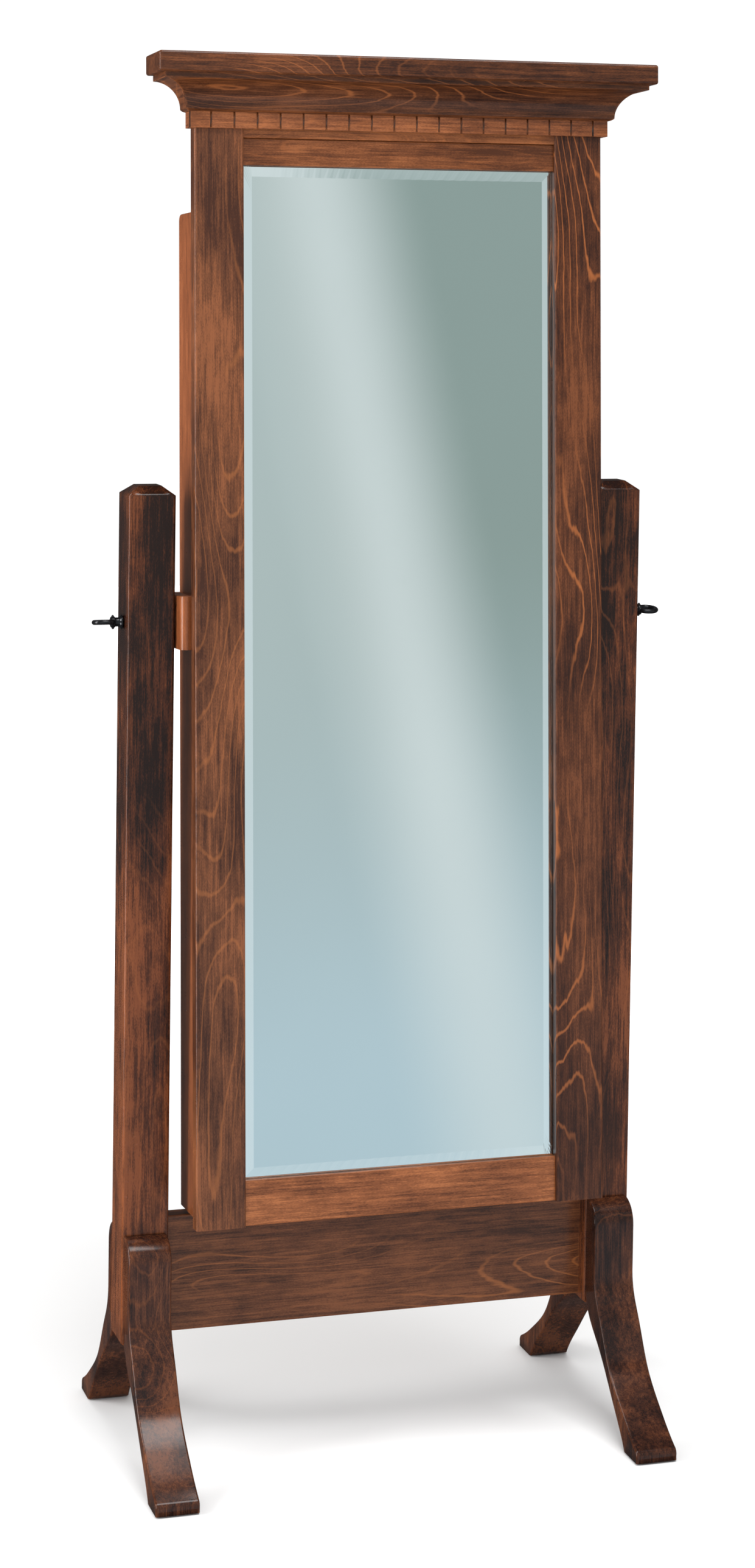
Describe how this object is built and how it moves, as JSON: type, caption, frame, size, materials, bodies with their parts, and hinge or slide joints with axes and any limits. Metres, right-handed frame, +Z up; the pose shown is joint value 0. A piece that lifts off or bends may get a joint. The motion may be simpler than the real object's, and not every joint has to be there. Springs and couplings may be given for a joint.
{
  "type": "cheval floor mirror",
  "caption": "Tilting cheval floor mirror: a bevelled mirror door with a crown on a shallow jewellery cabinet, held by ring screws between posts on sabre legs.",
  "frame": {"origin": "on the floor under the middle of the stand", "axes": "+X to the viewer's right, +Y from the mirror's face to its back, +Z up"},
  "size_m": [0.7342, 0.4242, 1.7063],
  "materials": {
    "frame_wood": "dark walnut-stained maple, satin lacquer",
    "crown_wood": "dark walnut-stained maple, satin lacquer",
    "stand_wood": "dark walnut-stained maple, satin lacquer",
    "cabinet_wood": "stained maple, lighter than the door, satin lacquer",
    "panel_wood": "plain veneered board and beech",
    "mirror": "silvered plate glass, bevelled",
    "black_iron": "black enamelled",
    "fibre": "vulcanised fibre",
    "brass": "polished and lacquered",
    "steel": "zinc plated",
    "catch_plastic": "brown moulded",
    "felt": "dense felt",
    "velvet": "short-pile velvet"
  },
  "bodies": {
    "stand": {"post_left": "stand_wood", "post_right": "stand_wood", "stretcher": "stand_wood", "leg_front_left": "stand_wood", "leg_front_right": "stand_wood", "leg_rear_left": "stand_wood", "leg_rear_right": "stand_wood", "stand_dowels": "panel_wood", "foot_glides": "felt"},
    "cabinet": {"cabinet_side_left": "cabinet_wood", "cabinet_side_right": "cabinet_wood", "cabinet_top": "cabinet_wood", "cabinet_bottom": "cabinet_wood", "pivot_block_left": "cabinet_wood", "pivot_block_right": "cabinet_wood", "shelf_lower": "cabinet_wood", "shelf_middle": "cabinet_wood", "shelf_upper": "cabinet_wood", "shelf_lips": "cabinet_wood", "necklace_rail": "cabinet_wood", "cabinet_back": "panel_wood", "friction_washer_left": "fibre", "friction_washer_right": "fibre", "threaded_insert_left": "brass", "threaded_insert_right": "brass", "necklace_hooks": "brass", "bracelet_bar": "brass", "hinge_lower_cabinet_leaf": "brass", "hinge_middle_cabinet_leaf": "brass", "hinge_upper_cabinet_leaf": "brass", "hinge_pins": "brass", "hinge_screws_cabinet": "brass", "pivot_block_screws": "steel", "magnetic_catch": "catch_plastic", "back_lining": "felt", "ring_pad": "velvet"},
    "door": {"stile_left": "frame_wood", "stile_right": "frame_wood", "bottom_rail": "frame_wood", "top_rail": "frame_wood", "header_board": "frame_wood", "crown_front": "crown_wood", "crown_return_left": "crown_wood", "crown_return_right": "crown_wood", "dentil_front": "crown_wood", "dentil_return_left": "crown_wood", "dentil_return_right": "crown_wood", "cap_board": "crown_wood", "mirror_backing": "panel_wood", "mirror_glass": "mirror", "hinge_lower_door_leaf": "brass", "hinge_middle_door_leaf": "brass", "hinge_upper_door_leaf": "brass", "hinge_screws_door": "brass", "backing_clips": "steel", "backing_clip_screws": "steel", "catch_strike": "steel", "door_bumpers": "felt"},
    "ring_screw_left_body": {"ring_screw_left": "black_iron"},
    "ring_screw_right_body": {"ring_screw_right": "black_iron"}
  },
  "joints": [
    {"name": "head_tilt", "type": "hinge", "parent": "stand", "child": "cabinet", "pos_m": [0, 0, 1.022], "axis": [-1, 0, 0], "range_deg": [-9, 45]},
    {"name": "door_swing", "type": "hinge", "parent": "cabinet", "child": "door", "pos_m": [0.2501, -0.06341, 1.02543], "axis": [0, 0.0541, 0.9985], "range_deg": [0, 90]},
    {"name": "ring_screw_left_turn", "type": "hinge", "parent": "stand", "child": "ring_screw_left_body", "pos_m": [-0.33, 0, 1.022], "axis": [-1, 0, 0], "continuous": true},
    {"name": "ring_screw_right_turn", "type": "hinge", "parent": "stand", "child": "ring_screw_right_body", "pos_m": [0.33, 0, 1.022], "axis": [1, 0, 0], "continuous": true}
  ]
}
